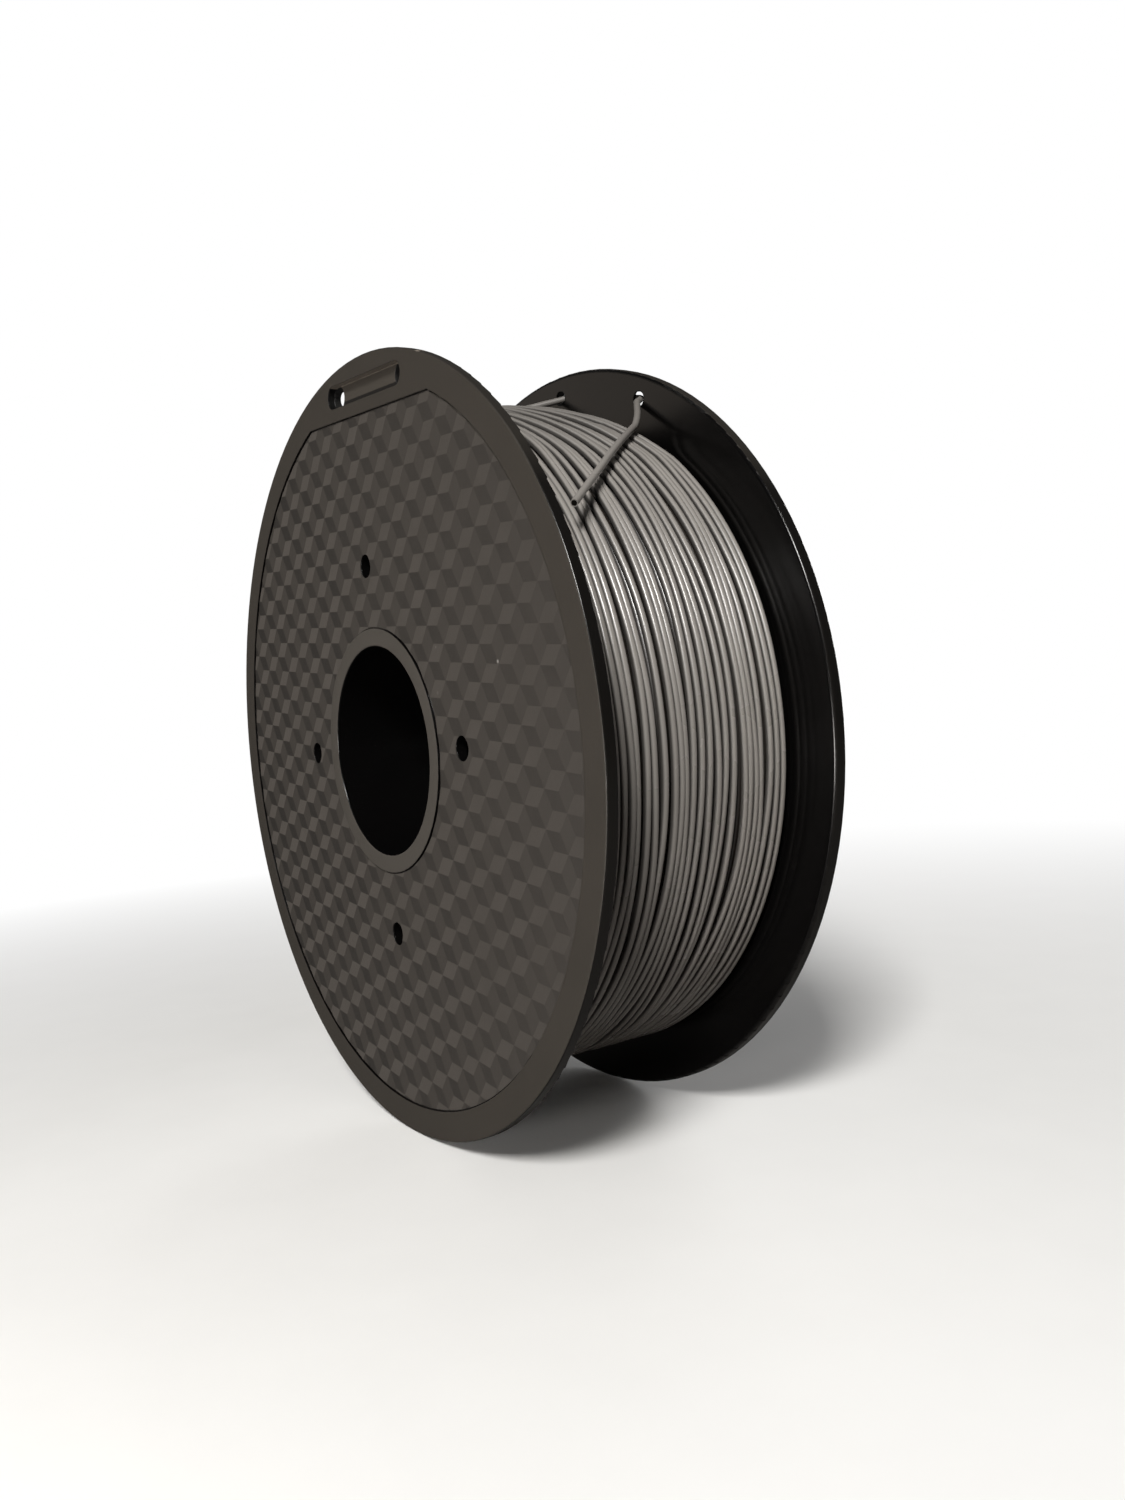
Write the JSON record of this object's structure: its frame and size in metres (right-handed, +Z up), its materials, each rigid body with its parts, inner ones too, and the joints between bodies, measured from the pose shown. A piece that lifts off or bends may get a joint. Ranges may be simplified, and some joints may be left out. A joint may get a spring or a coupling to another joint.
{
  "type": "filament spool",
  "caption": "Two-part moulded spool with a through bore, wound with printing filament whose end is tucked through slots in the rim.",
  "frame": {"origin": "on the bore's axis, half way between the flanges' outer faces", "axes": "+Y along the bore from the front flange to the rear flange; +Z up, towards the rim slots; +X to the right as seen from the front"},
  "size_m": [0.2, 0.0654, 0.2],
  "materials": {
    "spool_plastic": "black moulding, glossy on the inside and in the bore, fine matt texture on the outer faces",
    "filament": "warm grey extruded filament, silky gloss"
  },
  "bodies": {
    "root": {"front_half": "spool_plastic", "rear_half": "spool_plastic", "filament_inner_layers": "filament", "filament_outer_layer": "filament", "filament_lead": "filament", "filament_tail": "filament", "filament_start": "filament"}
  },
  "joints": []
}
